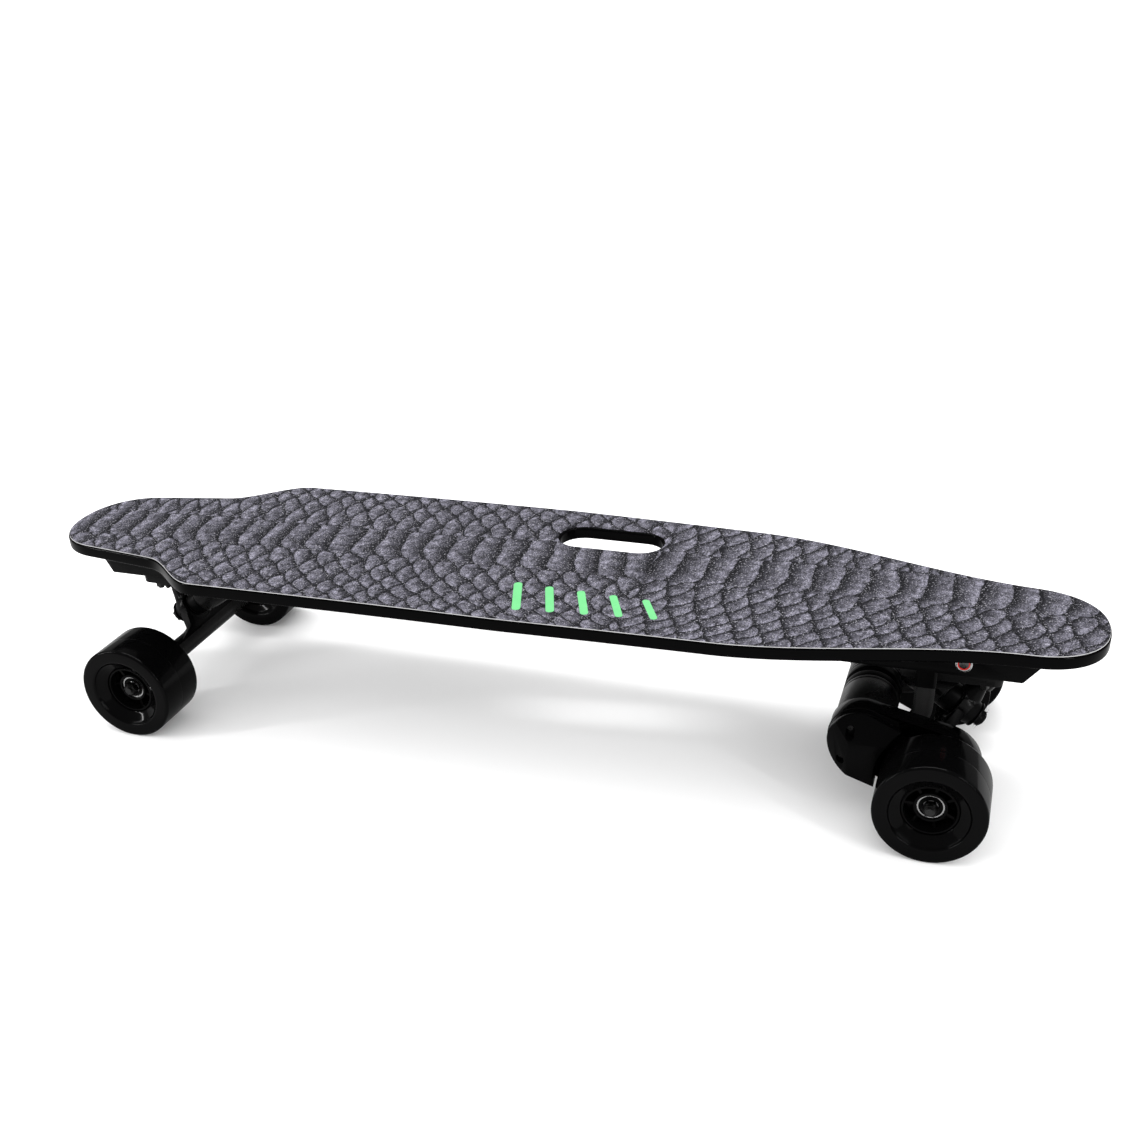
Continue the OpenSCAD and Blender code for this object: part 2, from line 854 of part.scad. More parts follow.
// flat sleeve from the enclosure floor down to the motor can
module motor_cable() {
  wide = 17;
  thick = 6;
  top_x = -347;
  top_y = 35;
  bend_z = 72;
  color("#141415") {
    translate([top_x, top_y, (box_low_z + bend_z) / 2])
      cube([wide, thick, box_low_z - bend_z - 0.1], center = true);
    // lower end, turned forward to the motor can
    translate([top_x - wide / 2, top_y + thick / 2, bend_z + 0.1])
      rotate([90, 0, 0])
        linear_extrude(thick)
          polygon([[0, 0], [1.5, -9], [5.5, -15], [12, -18.8], [20, -20.6], [29.2, -21],
            [29.2, -7], [24, -6.6], [19.5, -4.2], [wide, -1], [wide, 0]]);
  }
}

// ---- shared parts -----------------------------------------------------------------------------

function bolt_head_z() = board_top_z - camber(bolt_mid_u + bolt_du) - 0.6;

module truck_bolt() {
  low = flange_low_z - 7;
  translate([0, 0, low]) cylinder(r = 2.5, h = bolt_head_z() - low - 1);
  translate([0, 0, bolt_head_z() - 3.1]) cylinder(r1 = 2.5, r2 = 5.2, h = 3);
}

module truck_nut() {
  translate([0, 0, flange_low_z - 5.05])
    difference() {
      cylinder(r = 4.6, h = 5, $fn = 6);
      translate([0, 0, -1]) cylinder(r = 2.55, h = 8);
    }
}

module front_riser() color("#1a1a1c") riser();
module rear_riser() color("#1a1a1c") rear() riser();
module front_baseplate() color("#202023") baseplate();
module rear_baseplate() color("#202023") rear() baseplate();
module truck_bolts() color("#2b2b2e") { at_bolts(1) truck_bolt(); at_bolts(-1) truck_bolt(); }
module truck_nuts() color("#9a9a9e") { at_bolts(1) truck_nut(); at_bolts(-1) truck_nut(); }
module kingpins() color("#8a8a8f") { kingpin(); rear() kingpin(); }
module kingpin_nuts() color("#4a4a4e") { kingpin_nut(); rear() kingpin_nut(); }
module bushing_washers() color("#4a4a4e") { bushing_washer_pair(); rear() bushing_washer_pair(); }
module front_board_bushing() color("#18181a") board_bushing();
module front_road_bushing() color("#18181a") road_bushing();
module rear_board_bushing() color("#18181a") rear() board_bushing();
module rear_road_bushing() color("#18181a") rear() road_bushing();
module pivot_cups() color("#18181a") { pivot_cup(); rear() pivot_cup(); }
module front_hanger() color("#202023") hanger(wheel_inner_y - 4);
module rear_hanger() color("#202023") rear() hanger(wheel_inner_y - 4);
module front_axle() color("#a5a5aa") axle();
module rear_axle() color("#a5a5aa") rear() axle();
module front_axle_nuts() color("#6a6a6e") axle_nuts();
module rear_axle_nuts() color("#6a6a6e") rear() axle_nuts();
module front_bearings() color("#b9b9bd") bearings();
module rear_bearings() color("#b9b9bd") rear() bearings();
module front_left_tyre() color("#0e0e10") place_wheel(1, 1) tyre();
module front_left_core() color("#101012") place_wheel(1, 1) core();
module front_right_tyre() color("#0e0e10") place_wheel(1, -1) tyre();
module front_right_core() color("#101012") place_wheel(1, -1) core();
module rear_left_tyre() color("#0e0e10") place_wheel(-1, 1) tyre();
module rear_left_core() color("#101012") place_wheel(-1, 1) core();
module rear_right_tyre() color("#0e0e10") place_wheel(-1, -1) tyre();
module rear_right_core() color("#101012") place_wheel(-1, -1) core();
module left_wheel_pulley() wheel_pulley();
module right_wheel_pulley() right_side() wheel_pulley();
module left_motor_housing() motor_housing();
module right_motor_housing() right_side() motor_housing();
module left_motor_end_cap() motor_end_cap();
module right_motor_end_cap() right_side() motor_end_cap();
module left_motor_rotor() motor_rotor();
module right_motor_rotor() right_side() motor_rotor();
module left_belt() belt();
module right_belt() right_side() belt();
module left_drive_shell() drive_shell();
module right_drive_shell() right_side() drive_shell();
module left_drive_cap() drive_cap();
module right_drive_cap() right_side() drive_cap();
module cover_screws() color("#2b2b2e") { drive_screws(); right_side() drive_screws(); }
module motor_cables() { motor_cable(); right_side() motor_cable(); }

// ---- output ---------------------------------------------------------------------------------

deck();
grip_tape();
front_enclosure();
rear_enclosure();
enclosure_screws();
battery_cells();
battery_board();
motor_controller();
wire_conduit();
power_cable();
button_bezel();
button_light_ring();
power_button();
charge_socket();
front_riser();
rear_riser();
front_baseplate();
rear_baseplate();
truck_bolts();
truck_nuts();
kingpins();
front_board_bushing();
front_road_bushing();
rear_board_bushing();
rear_road_bushing();
bushing_washers();
kingpin_nuts();
pivot_cups();
front_hanger();
rear_hanger();
front_axle();
rear_axle();
front_axle_nuts();
rear_axle_nuts();
front_bearings();
rear_bearings();
front_left_tyre();
front_left_core();
front_right_tyre();
front_right_core();
rear_left_tyre();
rear_left_core();
rear_right_tyre();
rear_right_core();
left_wheel_pulley();
right_wheel_pulley();
left_motor_housing();
right_motor_housing();
left_motor_end_cap();
right_motor_end_cap();
left_motor_rotor();
right_motor_rotor();
left_belt();
right_belt();
left_drive_shell();
right_drive_shell();
left_drive_cap();
right_drive_cap();
cover_screws();
motor_cables();
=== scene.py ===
"""Looks of the electric skateboard: materials, softened pieces, floor, light and camera, in metres."""

import json
import math

import bmesh
import bpy
from mathutils import Matrix, Vector


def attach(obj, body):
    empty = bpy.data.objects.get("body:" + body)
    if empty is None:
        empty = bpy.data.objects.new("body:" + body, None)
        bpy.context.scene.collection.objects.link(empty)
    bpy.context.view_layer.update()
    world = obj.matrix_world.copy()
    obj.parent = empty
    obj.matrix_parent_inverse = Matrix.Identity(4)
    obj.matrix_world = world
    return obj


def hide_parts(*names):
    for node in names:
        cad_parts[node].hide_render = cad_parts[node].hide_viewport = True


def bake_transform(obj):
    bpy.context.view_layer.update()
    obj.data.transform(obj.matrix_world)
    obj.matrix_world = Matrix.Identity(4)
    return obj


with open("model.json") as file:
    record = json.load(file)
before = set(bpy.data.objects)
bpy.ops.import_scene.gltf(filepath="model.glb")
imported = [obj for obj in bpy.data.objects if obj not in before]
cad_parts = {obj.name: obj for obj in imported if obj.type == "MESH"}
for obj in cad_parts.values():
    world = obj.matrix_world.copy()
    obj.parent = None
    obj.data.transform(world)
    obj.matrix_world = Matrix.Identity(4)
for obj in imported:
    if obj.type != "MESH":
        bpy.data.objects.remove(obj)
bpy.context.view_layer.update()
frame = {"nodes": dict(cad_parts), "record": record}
MM = 0.001

# ---- the object's own measures, in millimetres, as in the CAD --------------------------------

DECK_HALF = 485.0
MID_HALF = 117.0
BOARD_LOW = 147.0
BOARD_TOP = 158.2
CAMBER = 6.5
NOSE_NECK_HALF, NOSE_SHOULDER, NOSE_ROUND = 74.0, (290.0, 364.0), 435.0
NOSE_TAPER, NOSE_TAPER_START = 0.16, 362.0
TAIL_NECK_HALF, TAIL_SHOULDER, TAIL_ROUND = 76.0, (180.0, 430.0), 424.0
TAIL_TAPER = 0.035
ROUNDNESS = 2.3
SLOT_X, SLOT_Y, SLOT_LONG, SLOT_WIDE = -49.0, -60.0, 98.0, 43.0
AXLE_X, AXLE_Z = 365.3, 45.0
WHEEL_R, WHEEL_WIDE, WHEEL_IN = 45.0, 52.0, 89.0
MOTOR_X, MOTOR_Z = 301.5, 67.0
RING_X, RING_Z, PIVOT_LEAN = 376.3, 67.8, 35.0
CABLE_X, CABLE_Y, CABLE_TOP = -347.0, 35.0, 121.3
ENDS = (("front", 1), ("rear", -1))
HANDS = (("left", 1), ("right", -1))


def ease(a, b, x):
    """Smooth step from 0 at a to 1 at b."""
    t = min(1.0, max(0.0, (x - a) / (b - a)))
    return t * t * (3 - 2 * t)


def tip_round(start, x):
    """Share of the width left at x, where the tip's rounding begins at start."""
    t = min(1.0, max(0.0, (x - start) / (DECK_HALF - start)))
    return (1 - t**ROUNDNESS) ** (1 / ROUNDNESS)


def half_at(x):
    """Half width of the deck: a sharp shoulder beside the front wheels, one long taper toward the tail."""
    if x > 0:
        body = MID_HALF - (MID_HALF - NOSE_NECK_HALF) * ease(*NOSE_SHOULDER, x)
        return (body - NOSE_TAPER * max(0, x - NOSE_TAPER_START)) * tip_round(NOSE_ROUND, x)
    back = -x
    body = MID_HALF - TAIL_TAPER * back - (MID_HALF - TAIL_NECK_HALF) * ease(*TAIL_SHOULDER, back)
    return body * tip_round(TAIL_ROUND, back)


def camber(x):
    """Drop of the deck below its middle at x."""
    return CAMBER * (x / DECK_HALF) ** 2


# ---- material helpers --------------------------------------------------------------------------


class Shade:
    """A small wrapper that adds nodes to one material and links what it is given."""

    def __init__(self, name):
        self.mat = bpy.data.materials.new(name)
        self.mat.use_nodes = True
        self.tree = self.mat.node_tree
        self.bsdf = next(n for n in self.tree.nodes if n.type == "BSDF_PRINCIPLED")
        self.coords = self.add("ShaderNodeTexCoord").outputs["Object"]

    def add(self, kind, **settings):
        node = self.tree.nodes.new(kind)
        for key, value in settings.items():
            setattr(node, key, value)
        return node

    def put(self, socket, value):
        if isinstance(value, bpy.types.NodeSocket):
            self.tree.links.new(value, socket)
        else:
            socket.default_value = value

    def math(self, op, a, b=0.0, c=0.0):
        node = self.add("ShaderNodeMath", operation=op)
        for socket, value in zip(node.inputs, (a, b, c)):
            self.put(socket, value)
        return node.outputs[0]

    def noise(self, scale, detail=4.0, rough=0.6, vector=None, stretch=None):
        vector = self.coords if vector is None else vector
        if stretch:
            node = self.add("ShaderNodeVectorMath", operation="MULTIPLY")
            self.put(node.inputs[0], vector)
            node.inputs[1].default_value = stretch
            vector = node.outputs[0]
        node = self.add("ShaderNodeTexNoise")
        self.put(node.inputs["Vector"], vector)
        node.inputs["Scale"].default_value = scale
        node.inputs["Detail"].default_value = detail
        node.inputs["Roughness"].default_value = rough
        return node.outputs["Fac"]

    def cells(self, scale, feature="F1"):
        node = self.add("ShaderNodeTexVoronoi", feature=feature)
        self.put(node.inputs["Vector"], self.coords)
        node.inputs["Scale"].default_value = scale
        return node.outputs["Distance"]

    def span(self, value, a, b, low, high):
        node = self.add("ShaderNodeMapRange")
        for socket, v in zip(node.inputs, (value, a, b, low, high)):
            self.put(socket, v)
        return node.outputs[0]

    def blend(self, factor, a, b, mode="MIX"):
        node = self.add("ShaderNodeMix", data_type="RGBA", blend_type=mode)
        self.put(node.inputs["Factor"], factor)
        self.put(node.inputs[6], a)
        self.put(node.inputs[7], b)
        return node.outputs[2]

    def bump(self, height, distance, strength=1.0, normal=None):
        node = self.add("ShaderNodeBump")
        node.inputs["Strength"].default_value = strength
        node.inputs["Distance"].default_value = distance
        self.put(node.inputs["Height"], height)
        if normal is not None:
            self.put(node.inputs["Normal"], normal)
        return node.outputs["Normal"]

    def finish(self, **values):
        for key, value in values.items():
            self.put(self.bsdf.inputs[key], value)
        return self.mat


def grey(v, tint=0.0):
    """A grey of this value, with its blue raised by the tint."""
    return (v, v, v * (1 + tint), 1.0)


def coated(name, dark, light, rough, grain, depth, metallic=0.0, specular=0.5, wear=0.0):
    """Painted, moulded or cast surface: mottled colour, uneven gloss, fine grain and faint scuffs.

    rough is the range of roughness, grain the fineness of the bumps, depth their height in mm.
    """
    s = Shade(name)
    broad = s.noise(28, 5)
    fine = s.noise(grain, 3)
    scuff = s.span(s.noise(90, 8, 0.75, stretch=(1, 3, 1)), 0.56, 0.72, 0.0, 1.0)
    colour = s.blend(broad, dark, light)
    if wear:
        geometry = s.add("ShaderNodeNewGeometry")
        edge = s.span(geometry.outputs["Pointiness"], 0.53, 0.6, 0.0, wear)
        colour = s.blend(edge, colour, grey(0.12))
    low, high = rough
    gloss = s.span(broad, 0.3, 0.7, low, high)
    gloss = s.math("ADD", gloss, s.math("MULTIPLY", scuff, 0.08))
    normal = s.bump(fine, depth * MM, 0.6)
    s.finish(**{"Base Color": colour, "Roughness": gloss, "Normal": normal})
    s.finish(**{"Metallic": metallic, "Specular IOR Level": specular})
    return s.mat


def brushed(name, dark, light, rough):
    """Turned or ground metal with fine lines."""
    s = Shade(name)
    lines = s.noise(700, 2, 0.5, stretch=(1, 0.1, 1))
    stain = s.noise(60, 6)
    colour = s.blend(stain, dark, light)
    gloss = s.span(lines, 0.3, 0.7, rough - 0.06, rough + 0.08)
    normal = s.bump(lines, 0.02 * MM, 0.5)
    s.finish(**{"Base Color": colour, "Roughness": gloss, "Normal": normal, "Metallic": 1.0})
    return s.mat


def braid(name):
    """Woven cable sleeve: crossed diagonal strands."""
    s = Shade(name)
    split = s.add("ShaderNodeSeparateXYZ")
    s.put(split.inputs[0], s.coords)
    x, y, z = split.outputs
    across = s.math("ADD", x, y)
    one = s.math("SINE", s.math("MULTIPLY", s.math("ADD", across, z), 3600))
    two = s.math("SINE", s.math("MULTIPLY", s.math("SUBTRACT", across, z), 3600))
    weave = s.math("MAXIMUM", one, two)
    fuzz = s.noise(2500, 2)
    colour = s.blend(s.span(weave, -0.2, 1.0, 0.0, 1.0), grey(0.0012), grey(0.012, 0.05))
    s.finish(**{"Base Color": colour, "Roughness": s.span(fuzz, 0.3, 0.7, 0.5, 0.75)})
    s.finish(**{"Normal": s.bump(weave, 0.35 * MM, 0.8)})
    return s.mat


def glow(name):
    """Red light ring, faintly lit from within."""
    s = Shade(name)
    spot = s.noise(900, 2)
    s.finish(**{"Base Color": s.blend(spot, (0.3, 0.006, 0.006, 1), (0.5, 0.015, 0.012, 1))})
    s.finish(**{"Roughness": s.span(spot, 0.3, 0.7, 0.25, 0.4)})
    s.finish(**{"Emission Color": (1.0, 0.03, 0.02, 1), "Emission Strength": 0.12})
    return s.mat


def board_ply(name):
    """Circuit board with faint tracks."""
    s = Shade(name)
    tracks = s.cells(260, "DISTANCE_TO_EDGE")
    colour = s.blend(s.span(tracks, 0.02, 0.06, 1, 0), (0.01, 0.09, 0.035, 1), (0.02, 0.2, 0.08, 1))
    s.finish(**{"Base Color": colour, "Roughness": s.span(s.noise(300), 0.3, 0.7, 0.3, 0.5)})
    s.finish(**{"Normal": s.bump(tracks, 0.1 * MM, 0.4)})
    return s.mat


# the grip print, in metres: length of one scale, where the rows turn round, half width of the scute band
GRIP_PITCH = 0.0235
GRIP_MIRROR = -0.1
SCUTE_HALF = 0.0285
GRIP_DARK = (0.0055, 0.0053, 0.0075, 1)
GRIP_LIGHT = (0.3, 0.29, 0.36, 1)
GRIP_GRIT = (0.012, 0.012, 0.014, 1)
# colour of the painted glints on the grit
GRIP_PAINTED_GLINT = (0.5, 0.49, 0.54, 1)


def grip_print():
    """Printed snake-scale grip: wide scutes down the middle, overlapping scales outside them, over grit."""
    s = Shade("grip_print")
    wobble = s.add("ShaderNodeTexNoise")
    s.put(wobble.inputs["Vector"], s.coords)
    wobble.inputs["Scale"].default_value = 30
    wobble.inputs["Detail"].default_value = 3
    shift = s.add("ShaderNodeVectorMath", operation="SUBTRACT")
    s.put(shift.inputs[0], wobble.outputs["Color"])
    shift.inputs[1].default_value = (0.5, 0.5, 0.5)
    small = s.add("ShaderNodeVectorMath", operation="SCALE")
    s.put(small.inputs[0], shift.outputs[0])
    small.inputs["Scale"].default_value = 0.013
    moved = s.add("ShaderNodeVectorMath", operation="ADD")
    s.put(moved.inputs[0], s.coords)
    s.put(moved.inputs[1], small.outputs[0])
    split = s.add("ShaderNodeSeparateXYZ")
    s.put(split.inputs[0], moved.outputs[0])
    x, y = split.outputs[0], split.outputs[1]
    away = s.math("SUBTRACT", x, GRIP_MIRROR)
    along = s.math("DIVIDE", s.math("ABSOLUTE", away), GRIP_PITCH)
    # the scute band drifts across the board toward the tail
    bend = s.math("MULTIPLY", s.math("MULTIPLY", x, x), -0.0417)
    middle = s.math("ADD", s.math("MULTIPLY_ADD", x, 0.05245, -0.0112), bend)
    off = s.math("SUBTRACT", y, middle)
    near = s.math("GREATER_THAN", off, 0.0)
    sign = s.math("MULTIPLY_ADD", near, 2.0, -1.0)
    beyond = s.math("SUBTRACT", s.math("ABSOLUTE", off), SCUTE_HALF)
    in_scute = s.math("LESS_THAN", beyond, 0.0)
    beyond = s.math("MAXIMUM", beyond, 0.0)
    # rows get narrower toward the rails
    first = s.math("MULTIPLY_ADD", near, 8.0, 28.0)
    rows = s.math("MULTIPLY", beyond, s.math("ADD", first, s.math("MULTIPLY", beyond, 232.0)))
    lean = s.math("MULTIPLY", s.math("MULTIPLY", rows, sign), 0.25)
    u = s.math("ADD", along, lean)
    row = s.math("FLOOR", rows)
    t0 = s.math("SUBTRACT", s.math("SUBTRACT", rows, row), 0.5)
    step = s.math("MULTIPLY_ADD", s.math("GREATER_THAN", t0, 0.0), 2.0, -1.0)

    def scale_phase(index, t):
        odd = s.math("MULTIPLY", s.math("MODULO", s.math("ADD", index, 8.0), 2.0), 0.5)
        bow = s.math("MULTIPLY", s.math("MULTIPLY", t, t), 0.5)
        return s.math("FRACT", s.math("ADD", s.math("SUBTRACT", u, odd), s.math("ADD", bow, 8.0)))

    one = scale_phase(row, t0)
    two = scale_phase(s.math("ADD", row, step), s.math("SUBTRACT", t0, step))
    outer_ramp = s.math("MAXIMUM", one, two)
    outer_line = s.math("MINIMUM", one, two)
    # scutes: straight free edge, rounded at the near end, leaning on the nose half
    q = s.math("DIVIDE", off, SCUTE_HALF)
    round_end = s.math("MULTIPLY", s.math("POWER", s.math("MAXIMUM", q, 0.0), 4.0), 0.35)
    nose = s.math("GREATER_THAN", away, 0.0)
    slant = s.math("MULTIPLY", s.math("MULTIPLY", off, nose), 0.12 / GRIP_PITCH)
    scute = s.math("FRACT", s.math("ADD", s.math("ADD", along, round_end), s.math("ADD", slant, 8.0)))

    def choose(a, b):
        node = s.add("ShaderNodeMix", data_type="FLOAT")
        for socket, value in zip((node.inputs[0], node.inputs[2], node.inputs[3]), (in_scute, a, b)):
            s.put(socket, value)
        return node.outputs[0]

    ramp = choose(outer_ramp, scute)
    line = choose(outer_line, scute)
    body = s.span(ramp, 0.1, 0.8, 0.1, 1.0)
    shade = s.span(line, 0.03, 0.24, 0.0, 1.0)
    rim = s.span(ramp, 0.95, 1.0, 1.0, 0.6)
    tone = s.math("MULTIPLY", s.math("MULTIPLY", body, shade), rim)
    from_border = s.math("ABSOLUTE", s.math("SUBTRACT", s.math("ABSOLUTE", off), SCUTE_HALF))
    tone = s.math("MULTIPLY", tone, s.span(from_border, 0.0, 0.0022, 0.5, 1.0))
    blotch = s.span(s.noise(120, 5, 0.62), 0.34, 0.66, 0.35, 1.12)
    streak = s.span(s.noise(380, 3, 0.6, stretch=(1, 0.4, 1)), 0.32, 0.7, 0.55, 1.15)
    tone = s.math("MULTIPLY", s.math("MULTIPLY", tone, blotch), streak)
    grit = s.noise(900, 3, 0.75)
    tone = s.math("POWER", tone, 1.5)
    colour = s.blend(tone, GRIP_DARK, GRIP_LIGHT)
    colour = s.blend(s.span(grit, 0.42, 0.6, 0.0, 0.92), colour, GRIP_GRIT)
    # bright specks on the grit: painted glints in the colour, with lower roughness at the same specks
    glint_specks = s.span(s.noise(700, 2, 0.6), 0.6, 0.68, 0.0, 1.0)
    colour = s.blend(s.math("MULTIPLY", glint_specks, 0.55), colour, GRIP_PAINTED_GLINT)
    normal = s.bump(grit, 0.5 * MM, 0.8)
    s.finish(**{"Base Color": colour, "Normal": normal, "Specular IOR Level": 0.08})
    s.finish(**{"Roughness": s.math("SUBTRACT", 0.85, s.math("MULTIPLY", glint_specks, 0.4))})
    return s.mat


def green_vinyl():
    """Matt green print over the grip's grit."""
    s = Shade("green_mark")
    grit = s.noise(1900, 2, 0.7)
    soft = s.noise(90, 4)
    colour = s.blend(soft, (0.1, 0.46, 0.16, 1), (0.14, 0.54, 0.2, 1))
    colour = s.blend(s.span(grit, 0.3, 0.75, 0.0, 0.3), colour, (0.06, 0.33, 0.1, 1))
    s.finish(**{"Base Color": colour, "Roughness": s.span(grit, 0.3, 0.7, 0.5, 0.7)})
    s.finish(**{"Normal": s.bump(grit, 0.3 * MM, 0.5)})
    return s.mat


# pairs of dark and light tones that a surface is mottled between
BLACK, COAL = grey(0.0006, 0.08), grey(0.0014, 0.08)
INK, SOOT = grey(0.0009, 0.06), grey(0.002, 0.06)
GUNMETAL, GRAPHITE = grey(0.012), grey(0.024)
DEEP_BLUE, BLUE = (0.01, 0.1, 0.25, 1), (0.02, 0.16, 0.36, 1)
DEEP_RED, RED = (0.05, 0.004, 0.004, 1), (0.09, 0.01, 0.01, 1)
MATS = {
    "deck_lacquer": coated("black_lacquer", BLACK, COAL, (0.07, 0.14), 420, 0.006, specular=0.04),
    "grip": grip_print(),
    "enclosure_plastic": coated("case_plastic", INK, SOOT, (0.34, 0.48), 1700, 0.08, specular=0.055),
    "black_steel": coated("black_oxide", grey(0.008), grey(0.016), (0.3, 0.42), 900, 0.03, metallic=0.6),
    "cell_sleeve": coated("cell_wrap", DEEP_BLUE, BLUE, (0.25, 0.4), 500, 0.03),
    "circuit_board": board_ply("circuit_board"),
    "heat_sink": brushed("blasted_sink", grey(0.35), grey(0.5), 0.4),
    "cable_jacket": coated("lead_jacket", DEEP_RED, RED, (0.4, 0.55), 600, 0.04),
    "bezel_chrome": brushed("bezel_metal", grey(0.55), grey(0.75), 0.16),
    "red_light": glow("red_ring"),
    "button_steel": brushed("button_face", grey(0.1), grey(0.2), 0.28),
    "socket_plastic": coated("socket_plastic", grey(0.004), grey(0.008), (0.35, 0.5), 900, 0.04),
    "riser_rubber": coated("riser_rubber", INK, SOOT, (0.5, 0.68), 1200, 0.09, specular=0.06),
    "truck_paint": coated("truck_powder", INK, SOOT, (0.16, 0.26), 500, 0.03, specular=0.09, wear=0.25),
    "steel": brushed("plain_steel", grey(0.03), grey(0.07), 0.3),
    "dark_steel": brushed("blackened_steel", grey(0.012), grey(0.03), 0.3),
    "bushing_rubber": coated("bushing_urethane", INK, SOOT, (0.3, 0.42), 600, 0.03, specular=0.07),
    "bearing_steel": brushed("bearing_steel", grey(0.45), grey(0.65), 0.22),
    "bearing_seal": coated("bearing_seal", BLACK, COAL, (0.3, 0.4), 900, 0.03, specular=0.06),
    "wheel_tyre": coated("wheel_urethane", BLACK, COAL, (0.08, 0.13), 300, 0.006, specular=0.08),
    "wheel_core": coated("wheel_core", BLACK, COAL, (0.1, 0.18), 300, 0.008, specular=0.055),
    "pulley_plastic": coated("pulley_nylon", grey(0.004), grey(0.008), (0.3, 0.45), 700, 0.04),
    "motor_paint": coated("motor_anodised", GUNMETAL, GRAPHITE, (0.24, 0.32), 700, 0.02, metallic=0.8),
    "motor_cap": coated("motor_cap", INK, SOOT, (0.3, 0.42), 800, 0.05, specular=0.055),
    "belt_rubber": coated("belt_rubber", grey(0.006), grey(0.01), (0.5, 0.65), 900, 0.08),
    "cover_gloss": coated("cover_gloss", BLACK, COAL, (0.08, 0.15), 300, 0.006, specular=0.1),
    "cover_satin": coated("cover_satin", BLACK, COAL, (0.2, 0.28), 600, 0.01, specular=0.055),
    "cable_sleeve": braid("braided_sleeve"),
    "heat_shrink": coated("heat_shrink", INK, SOOT, (0.26, 0.36), 500, 0.04, specular=0.08),
    # pale band at the grip's edge: a painted highlight
    "grip_edge": coated("grip_edge_painted_highlight", grey(0.3), grey(0.5), (0.5, 0.7), 900, 0.05),
}
GREEN = green_vinyl()

SLOT_OF = {s["node"]: s["material_slot"] for s in frame["record"]["subparts"]}
BODY_OF = {n: b for b, ns in frame["record"]["behaviour"]["bodies"].items() for n in ns}


def dress(obj, material):
    """Leaves the piece with this one material."""
    obj.data.materials.clear()
    obj.data.materials.append(material)


for name, obj in frame["nodes"].items():
    for slot in obj.material_slots:
        slot.material = MATS[SLOT_OF[name]]


# ---- geometry helpers ----------------------------------------------------------------------------


def show(name, mesh):
    """Puts a mesh into the scene as an object of this name."""
    obj = bpy.data.objects.new(name, mesh)
    bpy.context.scene.collection.objects.link(obj)
    return obj


def closed_mesh(name, bm):
    """Ends the building of a closed surface: faces outward, in the scene, under this name."""
    bmesh.ops.recalc_face_normals(bm, faces=bm.faces)
    mesh = bpy.data.meshes.new(name)
    bm.to_mesh(mesh)
    bm.free()
    return show(name, mesh)


def settle(obj, material, body, node=None):
    """Gives a new piece its material and body, and hides the CAD node it stands in for; given the two
    bodies it would bend between, it only fixes the piece where it stands.
    """
    dress(obj, material)
    if isinstance(body, str):
        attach(obj, body)
    else:
        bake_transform(obj)
    if node:
        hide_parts(node)
    return obj


# metres within which points are one; degrees below which faces are one, and above which an edge is rounded
WELD, FLAT_ANGLE, HARD_ANGLE = 1e-6, 0.6, 35.0


def plate(name, loops, low, high, bevel, steps=4):
    """A flat plate with rounded rims from closed 2D loops (mm): the first is the rim, others are holes."""
    curve = bpy.data.curves.new(name + "_curve", "CURVE")
    curve.dimensions = "2D"
    curve.fill_mode = "BOTH"
    for loop in loops:
        line = curve.splines.new("POLY")
        line.points.add(len(loop) - 1)
        for point, (x, y) in zip(line.points, loop):
            point.co = (x * MM, y * MM, 0, 1)
        line.use_cyclic_u = True
    curve.offset = -bevel * MM
    curve.bevel_depth = bevel * MM
    curve.bevel_resolution = steps
    curve.extrude = ((high - low) / 2 - bevel) * MM
    temp = bpy.data.objects.new(name + "_temp", curve)
    bpy.context.scene.collection.objects.link(temp)
    mesh = bpy.data.meshes.new_from_object(temp.evaluated_get(bpy.context.evaluated_depsgraph_get()))
    bpy.data.objects.remove(temp)
    mesh.transform(Matrix.Translation((0, 0, (low + high) / 2 * MM)))
    mesh.name = name
    bm = bmesh.new()
    bm.from_mesh(mesh)
    bmesh.ops.remove_doubles(bm, verts=bm.verts, dist=WELD)
    bmesh.ops.recalc_face_normals(bm, faces=bm.faces)
    bm.to_mesh(mesh)
    bm.free()
    return show(name, mesh)


def smooth(obj, angle=32):
    """Shades the piece smooth, except at edges sharper than the angle."""
    mesh = obj.data
    mesh.shade_smooth()
    bm = bmesh.new()
    bm.from_mesh(mesh)
    limit = math.radians(angle)
    for edge in bm.edges:
        edge.smooth = len(edge.link_faces) == 2 and edge.calc_face_angle(0) < limit
    bm.to_mesh(mesh)
    bm.free()


def follow_camber(obj, slices=48):
    """Cuts a flat plate into slices along the board and drops each to the deck's camber."""
    bm = bmesh.new()
    bm.from_mesh(obj.data)
    for i in range(1, slices):
        x = (-DECK_HALF + 2 * DECK_HALF * i / slices) * MM
        geom = list(bm.verts) + list(bm.edges) + list(bm.faces)
        bmesh.ops.bisect_plane(bm, geom=geom, plane_co=(x, 0, 0), plane_no=(1, 0, 0), dist=WELD / 10)
    for v in bm.verts:
        v.co.z -= camber(v.co.x / MM) * MM
    bm.to_mesh(obj.data)
    bm.free()


def deck_loop(inset, count=150):
    """The deck's outline, moved in by the inset, with its points bunched at the tips."""
    k = (DECK_HALF - inset) / DECK_HALF
    xs = [DECK_HALF * math.sin(math.pi / 2 * i / count) for i in range(-count, count + 1)]
    top = [(x * k, max(0.3, half_at(x) - inset)) for x in xs]
    return top + [(x, -y) for x, y in reversed(top)]


def slot_loop(grow, count=24):
    """The hand slot's outline, moved out by grow: two half circles joined by straights."""
    r = SLOT_WIDE / 2 + grow
    reach = (SLOT_LONG - SLOT_WIDE) / 2
    loop = []
    for end, start in ((1, -90), (-1, 90)):
        for i in range(count + 1):
            a = math.radians(start + 180 * i / count)
            loop.append((SLOT_X + end * reach + r * math.cos(a), SLOT_Y + r * math.sin(a)))
    return loop


